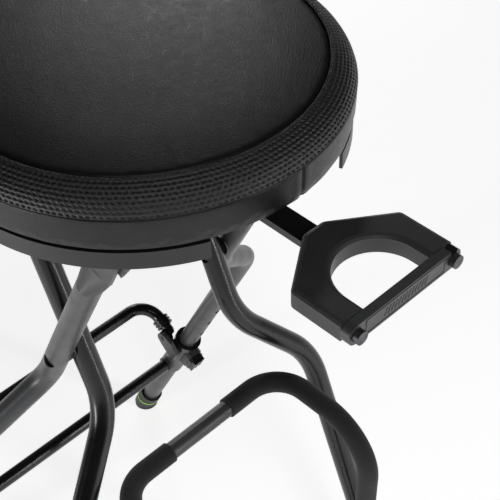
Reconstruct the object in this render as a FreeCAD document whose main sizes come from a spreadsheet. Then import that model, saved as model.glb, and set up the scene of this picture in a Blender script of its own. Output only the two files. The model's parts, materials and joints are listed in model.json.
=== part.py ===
import FreeCAD, Part
import math
import os
import re
import Sketcher

# Folding musician's stool: a padded round seat on two crossed tube frames, with an
# adjustable footrest, a fold-down padded cradle and a slide-out neck yoke.
# Millimetres. +Z up, +X towards the yoke, origin on the floor under the middle.

SIZES = {
    # seat
    "seat_radius": 165, "seam_height": 766, "seat_crown": 24, "panel_radius": 144.3,
    "band_drop": 31, "cover_thick": 2, "board_radius": 160, "board_thick": 12,
    "board_bottom": 735, "skirt_bottom": 719.5, "skirt_wall": 2.6, "skirt_open": 24,
    "plate_thick": 3, "plate_back": 112, "plate_front": 108, "plate_half": 96,
    "guide_front": 72, "seat_shift": 11.8,
    # crossed frames
    "pivot_back": 18, "pivot_height": 518, "inner_angle": 21.8, "outer_angle": 27,
    "inner_tube": 22, "outer_tube": 22, "tube_wall": 1.6, "leg_end": 14,
    "inner_top": 200, "inner_upper": 78, "inner_lower": 150, "inner_corner": 35,
    "inner_splay_top": 72, "inner_splay_low": 160.5, "inner_bend": 80,
    "outer_top": 210, "outer_upper": 102, "outer_lower": 173,
    "outer_splay_top": 42, "outer_splay_low": 117, "outer_bend": 44.5,
    "round_end": 148, "blade_start": 174, "blade_half": 15.5, "blade_thick": 4.4,
    "pivot_bolt": 8, "access_radius": 6.6, "bolt_head": 5.7, "head_depth": 3,
    "crush_sleeve": 5.6, "sleeve_reach": 5,
    "hole_pitch": 33, "hole_count": 5, "hole_size": 8,
    # feet
    "foot_radius": 15, "foot_height": 33, "foot_sole": 4, "ring_height": 2.2,
    # footrest
    "sleeve_start": 361, "sleeve_end": 433, "sleeve_wall": 2.3, "slide_gap": 0.4,
    "collar_radius": 15.8, "collar_height": 8, "bar_place": 420, "bar_radius": 7.8,
    "boss_radius": 10.2, "boss_inner": 157, "plunger_place": 380, "housing_half": 10,
    "housing_top": 19.5, "loop_place": 364, "loop_drop": 20, "loop_reach": 49.5, "loop_half": 165,
    "knuckle_half": 158, "bridge_drop": 23,
    "loop_radius": 7.5, "loop_bend": 26, "knuckle_radius": 8.2,
    # cradle
    "cradle_half": 105, "cradle_tube": 17, "foam_radius": 10.3, "cradle_front": 164,
    "cradle_height": 375, "bar_bend": 37, "front_bend": 58, "foam_start": 37,
    "foam_end": 200, "brace_place": 417, "brace_radius": 9, "hinge_reach": 26,
    # neck hanger
    "arm_half": 10, "arm_bottom": 711, "arm_thick": 6, "arm_rear": 28, "arm_tip": 200,
    "yoke_rear": 181, "yoke_half": 56, "yoke_front": 258.5, "yoke_bottom": 710.5,
    "yoke_seam": 722, "yoke_top": 726, "mouth_radius": 33.4, "mouth_centre": 243.3,
    "strap_front": 266.5, "strap_end": 8.2,
    "peg_half": 49, "peg_height": 717.4, "peg_radius": 5.3,
}

doc = FreeCAD.newDocument("stool")
sheet = doc.addObject("Spreadsheet::Sheet", "dims")
for row, (size_name, size_value) in enumerate(SIZES.items(), start=1):
    sheet.set("A%d" % row, str(size_value))
    sheet.setAlias("A%d" % row, size_name)
doc.recompute()

SIDES = {"left": -1, "right": 1}
NODES = {}
X_AXIS = FreeCAD.Vector(1, 0, 0)
Y_AXIS = FreeCAD.Vector(0, 1, 0)
Z_AXIS = FreeCAD.Vector(0, 0, 1)


def vec(x, y, z):
    return FreeCAD.Vector(x, y, z)


def linked(expression):
    """The expression with every size name pointing at its cell in the sheet."""
    def cell(found):
        word = found.group()
        return "dims." + word if word in SIZES else word

    return re.sub(r"[a-z_]+", cell, str(expression))


def num(expression):
    """The value of an expression written in size names."""
    return float(sheet.evalExpression(linked(expression)))


# ---------------------------------------------------------------- helpers

def make_body(label, placement=None):
    body = doc.addObject("PartDesign::Body", label)
    body.Label = label
    if placement:
        body.Placement = placement
    NODES[label] = body
    return body


def sketch_on(body, role, offset="0", name="outline"):
    """A sketch on one of the body's own origin planes, lifted along its normal."""
    plane = next(o for o in body.Origin.OriginFeatures if o.Role == role)
    sketch = body.newObject("Sketcher::SketchObject", name)
    sketch.AttachmentSupport = [(plane, "")]
    sketch.MapMode = "FlatFace"
    sketch.setExpression("AttachmentOffset.Base.z", linked(offset))
    return sketch


def bind(sketch, kind, where, expression):
    """One dimension of a sketch, held by an expression on the sheet."""
    value = num(expression)
    if kind in ("DistanceX", "DistanceY") and abs(value) < 1e-7:
        axis = -2 if kind == "DistanceX" else -1
        sketch.addConstraint(Sketcher.Constraint("PointOnObject", where[0], where[1], axis))
        return
    if kind == "Radius":
        index = sketch.addConstraint(Sketcher.Constraint(kind, where[0], value))
    else:
        index = sketch.addConstraint(Sketcher.Constraint(kind, -1, 1, where[0], where[1], value))
    sketch.setExpression("Constraints[%d]" % index, linked(expression))


def draw_polygon(sketch, points):
    """A closed outline through points given as pairs of expressions."""
    corners = [vec(num(x), num(y), 0) for x, y in points]
    count = len(corners)
    for i in range(count):
        sketch.addGeometry(Part.LineSegment(corners[i], corners[(i + 1) % count]))
    for i in range(count):
        sketch.addConstraint(Sketcher.Constraint("Coincident", i, 2, (i + 1) % count, 1))
    for i, (x, y) in enumerate(points):
        bind(sketch, "DistanceX", (i, 1), x)
        bind(sketch, "DistanceY", (i, 1), y)


def draw_circle(sketch, centre, radius):
    place = vec(num(centre[0]), num(centre[1]), 0)
    index = sketch.addGeometry(Part.Circle(place, Z_AXIS, num(radius)))
    bind(sketch, "Radius", (index, 0), radius)
    bind(sketch, "DistanceX", (index, 3), centre[0])
    bind(sketch, "DistanceY", (index, 3), centre[1])


def pad(body, sketch, length, name="pad"):
    feature = body.newObject("PartDesign::Pad", name)
    feature.Profile = sketch
    feature.setExpression("Length", linked(length))
    doc.recompute()
    return feature


def pocket(body, sketch, length=None, backwards=False, name="pocket"):
    """Cuts away from the sketch; with no length, right through both ways."""
    before = body.Shape.Volume
    feature = body.newObject("PartDesign::Pocket", name)
    feature.Profile = sketch
    if length is None:
        feature.Type = 1
        feature.Midplane = True
    else:
        feature.setExpression("Length", linked(length))
        feature.Reversed = backwards
    doc.recompute()
    if body.Shape.Volume > before - 1e-3:
        raise ValueError(body.Label + ": " + name + " removes nothing")
    return feature


def plate(label, role, offset, length, points, placement=None):
    """A flat piece: one polygon pulled straight out."""
    body = make_body(label, placement)
    sketch = sketch_on(body, role, offset)
    draw_polygon(sketch, points)
    pad(body, sketch, length)
    return body


def round_cut(body, role, centre, radius, offset="0", length=None, backwards=False):
    sketch = sketch_on(body, role, offset, "hole_outline")
    draw_circle(sketch, centre, radius)
    return pocket(body, sketch, length, backwards, "hole")


def turned(label, points, angle="360", placement=None):
    """A piece turned about its own Z axis from (radius, height) points."""
    body = make_body(label, placement)
    sketch = sketch_on(body, "XZ_Plane")
    draw_polygon(sketch, points)
    turn = body.newObject("PartDesign::Revolution", "turn")
    turn.Profile = sketch
    turn.ReferenceAxis = (sketch, ["V_Axis"])
    turn.setExpression("Angle", linked(angle))
    doc.recompute()
    return body


def cylinder(name, radius, height, centre, axis=Z_AXIS):
    """A Part cylinder whose middle is at centre."""
    piece = doc.addObject("Part::Cylinder", name)
    piece.setExpression("Radius", linked(radius))
    piece.setExpression("Height", linked(height))
    start = centre - axis * (num(height) / 2)
    piece.Placement = FreeCAD.Placement(start, FreeCAD.Rotation(Z_AXIS, axis))
    return piece


def fused(name, pieces):
    joint = doc.addObject("Part::MultiFuse", name)
    joint.Shapes = pieces
    return joint


def cut(name, base, tool):
    piece = doc.addObject("Part::Cut", name)
    piece.Base = base
    piece.Tool = tool
    return piece


def group(label, pieces):
    """Identical pieces kept as separate solids of one node."""
    node = doc.addObject("Part::Compound", label)
    node.Label = label
    node.Links = pieces
    NODES[label] = node
    return node


def keep(label, piece):
    piece.Label = label
    NODES[label] = piece
    return piece


def free_shape(label, shape, placement=None):
    """A node whose shape is made directly, for forms bent in two planes."""
    piece = doc.addObject("Part::Feature", label)
    piece.Label = label
    piece.Shape = shape.removeSplitter()
    if placement:
        piece.Placement = placement
    NODES[label] = piece
    return piece


def bent_edges(points, radii):
    """Straight runs joined by tangent arcs; radii belong to the inner points."""
    edges = []
    start = points[0]
    for before, corner, after, radius in zip(points, points[1:], points[2:], radii):
        back = (before - corner).normalize()
        ahead = (after - corner).normalize()
        half = back.getAngle(ahead) / 2
        reach = radius / math.tan(half)
        enter = corner + back * reach
        leave = corner + ahead * reach
        inward = (back + ahead).normalize()
        middle = corner + inward * (radius / math.sin(half) - radius)
        edges.append(Part.LineSegment(start, enter))
        edges.append(Part.Arc(enter, middle, leave))
        start = leave
    edges.append(Part.LineSegment(start, points[-1]))
    return edges


def swept(points, radii, outer, inner=0.0):
    """A round tube along bent runs, hollow when inner is given."""
    path = Part.Wire([edge.toShape() for edge in bent_edges(points, radii)])
    heading = points[1] - points[0]

    def solid(radius):
        ring = Part.Wire([Part.Circle(points[0], heading, radius).toShape()])
        return path.makePipeShell([ring], True, False)

    tube = solid(outer)
    return tube.cut(solid(inner)) if inner else tube


# ---------------------------------------------------------------- frames of reference

PIVOT = vec(-num("pivot_back"), 0, num("pivot_height"))


def leg_place(angle):
    """Along a leg: X down the leg from the pivot, Y across, Z out of its front."""
    return FreeCAD.Placement(PIVOT, FreeCAD.Rotation(Y_AXIS, angle))


INNER = leg_place(90 - num("inner_angle"))
OUTER = leg_place(90 + num("outer_angle"))
SEAT_HINGE = OUTER.multVec(vec(-num("outer_top"), 0, 0))
RAIL = INNER.multVec(vec(-num("inner_top"), 0, 0))


def leg_length(angle_name):
    return "(pivot_height - leg_end) / cos(%s)" % angle_name


# ---------------------------------------------------------------- crossed frames

def tube_leg(label, placement, side, runs, radii, tube):
    """One bent leg tube, swept up from its foot along runs of (down, across)."""
    body = make_body(label, placement)
    path = sketch_on(body, "XY_Plane", name="path")
    points = [vec(num(down), side * num(across), 0) for down, across in runs]
    for edge in bent_edges(points, [num(radius) for radius in radii]):
        path.addGeometry(edge)
    ring = sketch_on(body, "YZ_Plane", runs[0][0], "section")
    across = "%d * (%s)" % (side, runs[0][1])
    draw_circle(ring, (across, "0"), tube + " / 2")
    draw_circle(ring, (across, "0"), tube + " / 2 - tube_wall")
    pipe = body.newObject("PartDesign::AdditivePipe", "tube")
    pipe.Profile = ring
    pipe.Spine = (path, ["Edge%d" % (i + 1) for i in range(path.GeometryCount)])
    doc.recompute()
    return body


def add_pivot_sleeve(body, side, half_width, tube, open_side):
    """The crush sleeve round the pivot bolt inside the tube, its bore, and the access hole."""
    long_end = tube + " / 2 - tube_wall / 2"
    reach = "(%s + sleeve_reach)" % long_end
    far = "(%s) - %d * (%s)" % (half_width, open_side, long_end)
    near = "(%s) + %d * sleeve_reach" % (half_width, open_side)
    high = far if open_side * side < 0 else near
    offset = "-(%d * (%s))" % (side, high)
    sleeve = sketch_on(body, "XZ_Plane", offset, "sleeve_outline")
    draw_circle(sleeve, ("0", "0"), "crush_sleeve")
    pad(body, sleeve, reach, "sleeve")
    round_cut(body, "XZ_Plane", ("0", "0"), "pivot_bolt / 2 + 0.05")
    wall = "-(%d * (%s + %d * (sleeve_reach + 0.2)))" % (side, half_width, open_side)
    round_cut(body, "XZ_Plane", ("0", "0"), "access_radius", wall, tube, open_side * side < 0)


def inner_leg(name, side):
    runs = [
        (leg_length("inner_angle"), "inner_lower"), ("inner_splay_low", "inner_lower"),
        ("inner_splay_top", "inner_upper"), ("-inner_top", "inner_upper"),
        ("-inner_top", "inner_upper - inner_corner"),
    ]
    radii = ["inner_bend", "inner_bend", "inner_corner - 0.01"]
    body = tube_leg("inner_leg_" + name, INNER, side, runs, radii, "inner_tube")
    add_pivot_sleeve(body, side, "inner_upper", "inner_tube", -1)


def outer_leg(name, side):
    runs = [
        (leg_length("outer_angle"), "outer_lower"), ("outer_splay_low", "outer_lower"),
        ("outer_splay_top", "outer_upper"), ("-round_end", "outer_upper"),
    ]
    body = tube_leg("outer_leg_" + name, OUTER, side, runs, ["outer_bend", "outer_bend"], "outer_tube")
    across = "%d * outer_upper" % side

    round_end = sketch_on(body, "YZ_Plane", "-round_end", "round_end")
    draw_circle(round_end, (across, "0"), "outer_tube / 2")
    flat_end = sketch_on(body, "YZ_Plane", "-blade_start", "flat_end")
    ellipse = Part.Ellipse(vec(num(across), num("blade_half"), 0),
                           vec(num(across) + num("blade_thick") / 2 + 0.3, 0, 0),
                           vec(num(across), 0, 0))
    flat_end.addGeometry(ellipse)
    flatten = body.newObject("PartDesign::AdditiveLoft", "flatten")
    flatten.Profile = round_end
    flatten.Sections = [flat_end]
    doc.recompute()

    blade = sketch_on(body, "XZ_Plane", "-(%s + blade_thick / 2)" % across, "blade_outline")
    draw_polygon(blade, [("-blade_start", "-blade_half"), ("-blade_start", "blade_half"),
                         ("-outer_top", "blade_half"), ("-outer_top", "-blade_half")])
    pad(body, blade, "blade_thick", "blade")
    tip = sketch_on(body, "XZ_Plane", "-(%s + blade_thick / 2)" % across, "tip_outline")
    draw_circle(tip, ("-outer_top", "0"), "blade_half")
    pad(body, tip, "blade_thick", "blade_tip")
    round_cut(body, "XZ_Plane", ("-outer_top", "0"), "pivot_bolt / 2 + 0.05")

    add_pivot_sleeve(body, side, "outer_upper", "outer_tube", 1)

    for i in range(int(num("hole_count"))):
        sketch = sketch_on(body, "XY_Plane", "0", "height_hole_outline")
        along = "plunger_place - %d * hole_pitch" % i
        draw_circle(sketch, (along, "%d * outer_lower" % side), "hole_size / 2")
        pocket(body, sketch, "outer_tube", True, "height_hole")


def pivot_hardware():
    """Bolts, cap nuts and washers of the frame pivot, and the seat hinge bolts."""
    bolts, nuts, washers, hinge_bolts, hinge_nuts = [], [], [], [], []
    for name, side in SIDES.items():
        def spot(across, centre=PIVOT):
            return centre + Y_AXIS * (side * num(across))
        outside = "(outer_upper + sleeve_reach)"
        inside = "(inner_upper - sleeve_reach)"
        shank = cylinder("pivot_shank", "pivot_bolt / 2", outside + " - " + inside + " + 2.6",
                         spot("(" + outside + " + " + inside + " - 2.6) / 2"), Y_AXIS)
        head = cylinder("pivot_head", "bolt_head", "head_depth",
                        spot(outside + " + head_depth / 2 + 0.05"), Y_AXIS)
        bolts.append(fused("pivot_bolt_" + name, [shank, head]))
        nut = cylinder("pivot_nut_disc", "bolt_head", "head_depth",
                       spot(inside + " - head_depth / 2 - 0.05"), Y_AXIS)
        bore = cylinder("pivot_nut_bore", "pivot_bolt / 2", "head_depth + 2",
                        spot(inside + " - head_depth / 2"), Y_AXIS)
        nuts.append(cut("pivot_nut_" + name, nut, bore))
        gap_middle = "(inner_upper + inner_tube / 2 + outer_upper - outer_tube / 2) / 2"
        disc = cylinder("washer_disc", "10", "0.9", spot(gap_middle), Y_AXIS)
        eye = cylinder("washer_eye", "pivot_bolt / 2 + 0.02", "3", spot(gap_middle), Y_AXIS)
        washers.append(cut("pivot_washer_" + name, disc, eye))
        outside = "outer_upper + blade_thick / 2"
        long_shank = cylinder("hinge_shank", "pivot_bolt / 2", "16",
                              spot(outside + " - 8", SEAT_HINGE), Y_AXIS)
        wide_head = cylinder("hinge_head", "7.5", "4.5", spot(outside + " + 2.25", SEAT_HINGE), Y_AXIS)
        hinge_bolts.append(fused("hinge_bolt_" + name, [long_shank, wide_head]))
        nut = cylinder("hinge_nut_disc", "7", "6", spot(outside + " - 14", SEAT_HINGE), Y_AXIS)
        eye = cylinder("hinge_nut_eye", "pivot_bolt / 2", "9", spot(outside + " - 14", SEAT_HINGE), Y_AXIS)
        hinge_nuts.append(cut("hinge_nut_" + name, nut, eye))
    group("pivot_bolts", bolts)
    group("pivot_nuts", nuts)
    group("pivot_washers", washers)
    group("seat_hinge_bolts", hinge_bolts)
    group("seat_hinge_nuts", hinge_nuts)


def rubber_feet(prefix, placement, lower, tube):
    """Slanted rubber boots on the leg ends, with a coloured ring let in round each."""
    down = placement.Rotation.multVec(X_AXIS)
    rings = []
    for name, side in SIDES.items():
        top = num("foot_height")
        axis_point = placement.multVec(vec(0, side * num(lower), 0))

        def on_axis(height):
            return axis_point + down * ((height - axis_point.z) / down.z)

        def boot(extra):
            sole = num("foot_sole")
            foot = on_axis(sole)
            base = Part.makeCylinder(num("foot_radius") + extra, sole, vec(foot.x, foot.y, 0))
            low = Part.Wire(Part.Circle(foot, Z_AXIS, num("foot_radius") + extra).toShape())
            tilted = down * -1
            high = Part.Wire(Part.Circle(on_axis(top), tilted, num("foot_radius") - 1 + extra).toShape())
            return base.fuse(Part.makeLoft([low, high], True))

        lean = (Z_AXIS - down).normalize()
        band = Part.makeCylinder(num("foot_radius") + 9, num("ring_height"), on_axis(top * 0.55), lean)
        ring = boot(0.5).common(band).cut(boot(-1.2))
        rings.append(ring)
        leg_end = on_axis(num("leg_end"))
        socket = Part.makeCylinder(num(tube) / 2, num("foot_height") + 20, leg_end, down * -1)
        free_shape("%s_foot_%s" % (prefix, name), boot(0).cut(ring).cut(socket))
    free_shape(prefix + "_foot_rings", Part.makeCompound(rings))


def inner_cross_tubes():
    rail = cylinder("rail_outer", "inner_tube / 2", "2 * (inner_upper - inner_corner)", RAIL, Y_AXIS)
    bore = cylinder("rail_bore", "inner_tube / 2 - tube_wall", "2 * inner_upper", RAIL, Y_AXIS)
    keep("inner_top_rail", cut("inner_top_rail", rail, bore))

    middle = INNER.multVec(vec(num("brace_place"), 0, 0))
    bar = cylinder("brace_bar", "brace_radius", "2 * inner_lower", middle, Y_AXIS)
    down = INNER.Rotation.multVec(X_AXIS)
    tools = [cylinder("brace_saddle", "inner_tube / 2", "80",
                      middle + Y_AXIS * (side * num("inner_lower")), down) for side in SIDES.values()]
    tools.append(cylinder("brace_bore", "brace_radius - tube_wall", "2 * inner_lower", middle, Y_AXIS))
    keep("inner_lower_brace", cut("inner_lower_brace", bar, fused("brace_tools", tools)))


# ---------------------------------------------------------------- seat

OUTER_SKIN = [
    ("seat_radius - 1.3", "seam_height - band_drop"), ("seat_radius", "seam_height"),
    ("seat_radius - 3", "seam_height + 7"), ("seat_radius - 10", "seam_height + 14"),
    ("panel_radius", "seam_height + 19.4"), ("90", "seam_height + seat_crown - 1"),
    ("0", "seam_height + seat_crown"),
]
INNER_SKIN = [
    ("seat_radius - 1.3 - cover_thick", "seam_height - band_drop"),
    ("seat_radius - cover_thick", "seam_height"),
    ("seat_radius - 4.8", "seam_height + 5.9"), ("seat_radius - 11.1", "seam_height + 12.1"),
    ("panel_radius - 0.7", "seam_height + 17.4"), ("90", "seam_height + seat_crown - 3"),
    ("0", "seam_height + seat_crown - cover_thick"),
]


def cover_ring(label, first, last):
    """One panel of the cover, between two seams of the outline."""
    outside = OUTER_SKIN[first:last + 1]
    inside = INNER_SKIN[first:last + 1]
    turned(label, outside + inside[::-1])


def cushion():
    top_of_board = "board_bottom + board_thick"
    inside = [("%s - 0.15" % radius if radius != "0" else radius, "%s - 0.15" % height)
              for radius, height in INNER_SKIN[1:]]
    base = [("0", top_of_board), ("seat_radius - 1.6 - cover_thick", top_of_board)]
    turned("seat_foam", base + inside)
    cover_ring("side_band", 0, 1)
    cover_ring("mesh_border", 1, 4)
    cover_ring("top_panel", 4, 6)


SCREW_SPOTS = [("-95", "80"), ("-95", "-80"), ("60", "86"), ("60", "-86"), ("-20", "86"), ("-20", "-86")]


def seat_base():
    board = turned("seat_board", [("0", "board_bottom"), ("board_radius", "board_bottom"),
                                  ("board_radius", "board_bottom + board_thick"),
                                  ("0", "board_bottom + board_thick")])
    for x, y in SCREW_SPOTS:
        round_cut(board, "XY_Plane", (x, y), "3", "board_bottom", "board_thick - 2", True)

    wall = "board_radius + 0.2"
    skirt_turn = FreeCAD.Placement(vec(0, 0, 0), FreeCAD.Rotation(Z_AXIS, num("skirt_open")))
    turned("seat_skirt", [
        (wall + " + skirt_wall", "skirt_bottom"), (wall + " + skirt_wall", "seam_height - band_drop - 0.4"),
        (wall, "seam_height - band_drop - 0.4"), (wall, "board_bottom - 0.2"),
        (wall + " - 9", "board_bottom - 0.2"), (wall + " - 9", "board_bottom - 2.6"),
        (wall, "board_bottom - 2.6"), (wall, "skirt_bottom"),
    ], "360 - 2 * skirt_open", skirt_turn)

    steel = plate("seat_plate", "XY_Plane", "board_bottom - plate_thick", "plate_thick", [
        ("-plate_back", "-plate_half"), ("plate_front", "-plate_half"),
        ("plate_front", "plate_half"), ("-plate_back", "plate_half")])
    screws = []
    for i, (x, y) in enumerate(SCREW_SPOTS):
        round_cut(steel, "XY_Plane", (x, y), "3", "board_bottom", None)
        shank_middle = num("board_bottom - plate_thick + (board_thick - 2 + plate_thick) / 2")
        head_middle = num("board_bottom - plate_thick - 1.2")
        shank = cylinder("screw_shank", "3", "board_thick - 2 + plate_thick",
                         vec(num(x), num(y), shank_middle))
        head = cylinder("screw_head", "5.5", "2.4", vec(num(x), num(y), head_middle))
        screws.append(fused("board_screw_%d" % i, [shank, head]))
    group("board_screws", screws)


def hinge_bracket(name, side):
    """Steel angle under the seat plate: a flange and a pointed cheek with the hinge bore."""
    hinge_x = SEAT_HINGE.x
    body = make_body("hinge_bracket_" + name)
    cheek_face = "outer_upper - blade_thick / 2 - 1"
    top = "board_bottom - plate_thick"
    outer_y = "%d * (%s)" % (side, cheek_face)
    inner_y = "%d * (%s - 3)" % (side, cheek_face)
    cheek_start = "-(%s)" % (outer_y if side > 0 else inner_y)
    cheek = sketch_on(body, "XZ_Plane", cheek_start, "cheek_outline")
    draw_polygon(cheek, [("%f - 26" % hinge_x, top), ("%f + 28" % hinge_x, top),
                         ("%f + 27" % hinge_x, top + " - 26"), ("%f + 8" % hinge_x, top + " - 53"),
                         ("%f - 14" % hinge_x, top + " - 38")])
    pad(body, cheek, "3", "cheek")
    flange = sketch_on(body, "XY_Plane", top + " - 3", "flange_outline")
    far_y = "%d * 72" % side
    draw_polygon(flange, [("%f - 26" % hinge_x, outer_y), ("%f + 28" % hinge_x, outer_y),
                          ("%f + 28" % hinge_x, far_y), ("%f - 26" % hinge_x, far_y)])
    pad(body, flange, "3", "flange")
    for x, y in SCREW_SPOTS:
        if num(x) > hinge_x - 26 and num(y) * side > 0:
            round_cut(body, "XY_Plane", (x, y), "5.6", top, None)
    round_cut(body, "XZ_Plane", ("%f" % hinge_x, "%f" % SEAT_HINGE.z), "pivot_bolt / 2 + 0.08")


def seat_underside():
    saddles = []
    for side in SIDES.values():
        block = doc.addObject("Part::Box", "saddle_block")
        low = RAIL.z + 5
        block.Length = 32
        block.Width = 20
        block.Height = num("board_bottom - plate_thick") - low
        block.Placement.Base = vec(RAIL.x - 16, side * 36 - 10, low)
        groove = cylinder("saddle_groove", "inner_tube / 2 + 0.4", "40", RAIL + Y_AXIS * (side * 36), Y_AXIS)
        saddles.append(cut("rail_saddle", block, groove))
    group("rail_saddles", saddles)

    top = "board_bottom - plate_thick"
    guide = plate("arm_guide", "YZ_Plane", "-68", "68 + guide_front", [
        ("-15", top), ("-15", "arm_bottom - 2.6"), ("15", "arm_bottom - 2.6"), ("15", top)])
    tunnel = sketch_on(guide, "YZ_Plane", "0", "tunnel_outline")
    draw_polygon(tunnel, [("-arm_half - 0.3", "arm_bottom - 0.3"), ("arm_half + 0.3", "arm_bottom - 0.3"),
                          ("arm_half + 0.3", "arm_bottom + arm_thick + 0.3"),
                          ("-arm_half - 0.3", "arm_bottom + arm_thick + 0.3")])
    pocket(guide, tunnel, None, name="tunnel")


# ---------------------------------------------------------------- neck hanger

YOKE_OUTLINE = [
    ("yoke_rear", "-10"), ("yoke_rear + 8.5", "-22"), ("yoke_rear + 32.5", "-yoke_half"),
    ("yoke_front", "-yoke_half"), ("yoke_front", "yoke_half"), ("yoke_rear + 32.5", "yoke_half"),
    ("yoke_rear + 8.5", "22"), ("yoke_rear", "10"),
]


def mouth_cut(body, radius):
    """The D-shaped mouth: a round back with straight sides out to the front."""
    round_cut(body, "XY_Plane", ("mouth_centre", "0"), radius)
    sketch = sketch_on(body, "XY_Plane", "0", "mouth_sides")
    draw_polygon(sketch, [("mouth_centre", "-(%s)" % radius), ("yoke_front + 5", "-(%s)" % radius),
                          ("yoke_front + 5", radius), ("mouth_centre", radius)])
    pocket(body, sketch, None, name="mouth_front")


def round_corners(body):
    """Rounds the upright corners of the yoke's outline behind its front face."""
    finished = body.Tip
    front = num("yoke_front") - 1
    corners = ["Edge%d" % (i + 1) for i, edge in enumerate(body.Shape.Edges)
               if abs(edge.Vertexes[0].Z - edge.Vertexes[-1].Z) > 1 and edge.Vertexes[0].X < front]
    rounding = body.newObject("PartDesign::Fillet", "rounding")
    rounding.Base = (finished, corners)
    rounding.Radius = 6
    doc.recompute()


def bevel_top(body, name, size, chosen):
    """Bevels those edges of the top face whose middle passes the test."""
    finished = body.Tip
    height = num("yoke_top")
    edges = ["Edge%d" % (i + 1) for i, edge in enumerate(body.Shape.Edges)
             if all(abs(v.Z - height) < 1e-3 for v in edge.Vertexes)
             and abs(edge.CenterOfMass.z - height) < 1e-3
             and edge.CenterOfMass.x < num("yoke_front") - 1 and chosen(edge.CenterOfMass)]
    bevel = body.newObject("PartDesign::Chamfer", name)
    bevel.Base = (finished, edges)
    bevel.Size = size
    doc.recompute()


def neck_hanger():
    plate("hanger_arm", "YZ_Plane", "arm_rear", "arm_tip - arm_rear", [
        ("-arm_half", "arm_bottom"), ("arm_half", "arm_bottom"),
        ("arm_half", "arm_bottom + arm_thick"), ("-arm_half", "arm_bottom + arm_thick")])

    core = plate("yoke_core", "XY_Plane", "yoke_bottom", "yoke_seam - yoke_bottom", YOKE_OUTLINE)
    round_corners(core)
    mouth_cut(core, "mouth_radius")
    slot = sketch_on(core, "YZ_Plane", "yoke_rear - 5", "arm_slot_outline")
    draw_polygon(slot, [("-arm_half", "arm_bottom"), ("arm_half", "arm_bottom"),
                        ("arm_half", "arm_bottom + arm_thick"), ("-arm_half", "arm_bottom + arm_thick")])
    pocket(core, slot, "arm_tip - yoke_rear + 5", True, "arm_slot")
    for side in SIDES.values():
        round_cut(core, "YZ_Plane", ("%d * peg_half" % side, "peg_height"), "2.5",
                  "yoke_front", "14", False)

    pad_body = plate("yoke_pad", "XY_Plane", "yoke_seam", "yoke_top - yoke_seam", YOKE_OUTLINE)
    round_corners(pad_body)
    mouth_cut(pad_body, "mouth_radius")
    bevel_top(pad_body, "mouth_bevel", 2.6, lambda middle: abs(middle.y) < num("mouth_radius") + 0.5)
    bevel_top(pad_body, "outer_bevel", 1.4, lambda middle: middle.x < num("yoke_front") - 1)

    pegs = []
    for name, side in SIDES.items():
        middle = vec(0, side * num("peg_half"), num("peg_height"))
        shank = cylinder("peg_shank", "2.5", "strap_front - yoke_front + 14.2",
                         middle + X_AXIS * num("(strap_front + yoke_front - 13.8) / 2"), X_AXIS)
        head = cylinder("peg_head", "peg_radius", "4.6", middle + X_AXIS * num("strap_front + 2.5"), X_AXIS)
        pegs.append(fused("strap_peg_" + name, [shank, head]))
    group("strap_pegs", pegs)


def closing_strap():
    """Strap across the mouth: a bore round the left peg, an open notch over the right one."""
    rear = "yoke_front + 0.3"
    thick = "strap_front - yoke_front - 0.4"
    body = plate("closing_strap", "YZ_Plane", rear, thick, [
        ("-peg_half", "peg_height - strap_end"), ("peg_half", "peg_height - strap_end"),
        ("peg_half", "peg_height + strap_end"), ("-peg_half", "peg_height + strap_end")])
    for side in SIDES.values():
        end = sketch_on(body, "YZ_Plane", rear, "end_outline")
        draw_circle(end, ("%d * peg_half" % side, "peg_height"), "strap_end")
        pad(body, end, thick, "round_end")
    round_cut(body, "YZ_Plane", ("-peg_half", "peg_height"), "2.55")
    round_cut(body, "YZ_Plane", ("peg_half", "peg_height"), "2.9")
    notch = sketch_on(body, "YZ_Plane", "0", "notch_outline")
    draw_polygon(notch, [("peg_half - 2.9", "peg_height"), ("peg_half + 2.9", "peg_height"),
                         ("peg_half + 4.4", "peg_height + strap_end + 2"),
                         ("peg_half - 2.9", "peg_height + strap_end + 2")])
    pocket(body, notch, None, name="notch")


# ---------------------------------------------------------------- cradle

BRACE = INNER.multVec(vec(num("brace_place"), 0, 0))
CRADLE_HINGE = INNER.multVec(vec(num("brace_place"), 0, num("hinge_reach")))


def cradle_runs():
    """The loop's centre line from one hinge, over the bar, to the other hinge."""
    bar_x = PIVOT.x + math.tan(math.radians(num("inner_angle"))) * (PIVOT.z - num("cradle_height"))
    half = num("cradle_half")
    high = num("cradle_height")
    side_run = [CRADLE_HINGE, vec(num("cradle_front"), 0, high), vec(bar_x, 0, high)]
    return [[point + Y_AXIS * (side * half) for point in side_run] for side in (-1, 1)]


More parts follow.
